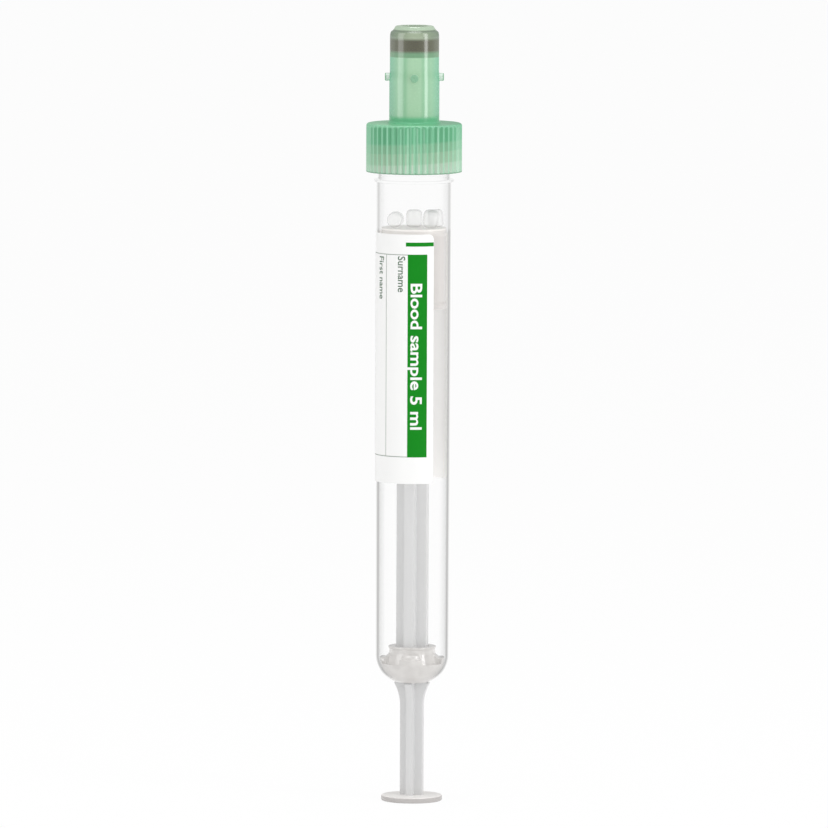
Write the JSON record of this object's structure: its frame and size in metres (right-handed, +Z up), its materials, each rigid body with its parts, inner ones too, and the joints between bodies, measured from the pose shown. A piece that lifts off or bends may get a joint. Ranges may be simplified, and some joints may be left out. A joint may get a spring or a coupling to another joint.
{
  "type": "blood collection tube",
  "caption": "Clear plunger-drawn blood collection tube with a ribbed screw cap, a nozzle with a rubber membrane, a piston on a breakable rod and a green-striped label.",
  "frame": {"origin": "centre of the thumb disc on the surface that it stands on", "axes": "+Z up along the tube towards its nozzle, -Y towards the front, where the label's stripe is"},
  "size_m": [0.0154, 0.0154, 0.1257],
  "materials": {
    "clear_plastic": "clear polypropylene, glossy",
    "green_plastic": "slightly translucent moulded polyethylene, satin",
    "brown_rubber": "matt moulded rubber",
    "milky_plastic": "milky translucent polyethylene",
    "white_plastic": "moulded polystyrene, satin",
    "label_paper": "white film with green and grey print",
    "bead_plastic": "clear coated beads"
  },
  "bodies": {
    "plunger": {"plunger_rod": "white_plastic", "piston": "milky_plastic", "beads": "bead_plastic"},
    "tube_body": {"tube": "clear_plastic", "label": "label_paper"},
    "seal": {"membrane": "brown_rubber"},
    "cap": {"screw_cap": "green_plastic"}
  },
  "joints": [
    {"name": "plunger_draw", "type": "slide", "parent": "plunger", "child": "tube_body", "axis": [0, 0, 1], "range_m": [0, 0.05657]},
    {"name": "cap_lift", "type": "slide", "parent": "tube_body", "child": "seal", "axis": [0, 0, 1], "range_m": [0, 0.008]},
    {"name": "cap_turn", "type": "hinge", "parent": "seal", "child": "cap", "pos_m": [0, 0, 0.1061], "axis": [0, 0, 1], "range_deg": [0, 1440.5]}
  ],
  "couplings": [
    {"joint": "cap_turn", "follows": "cap_lift", "rad_per_m": 3141.6}
  ]
}
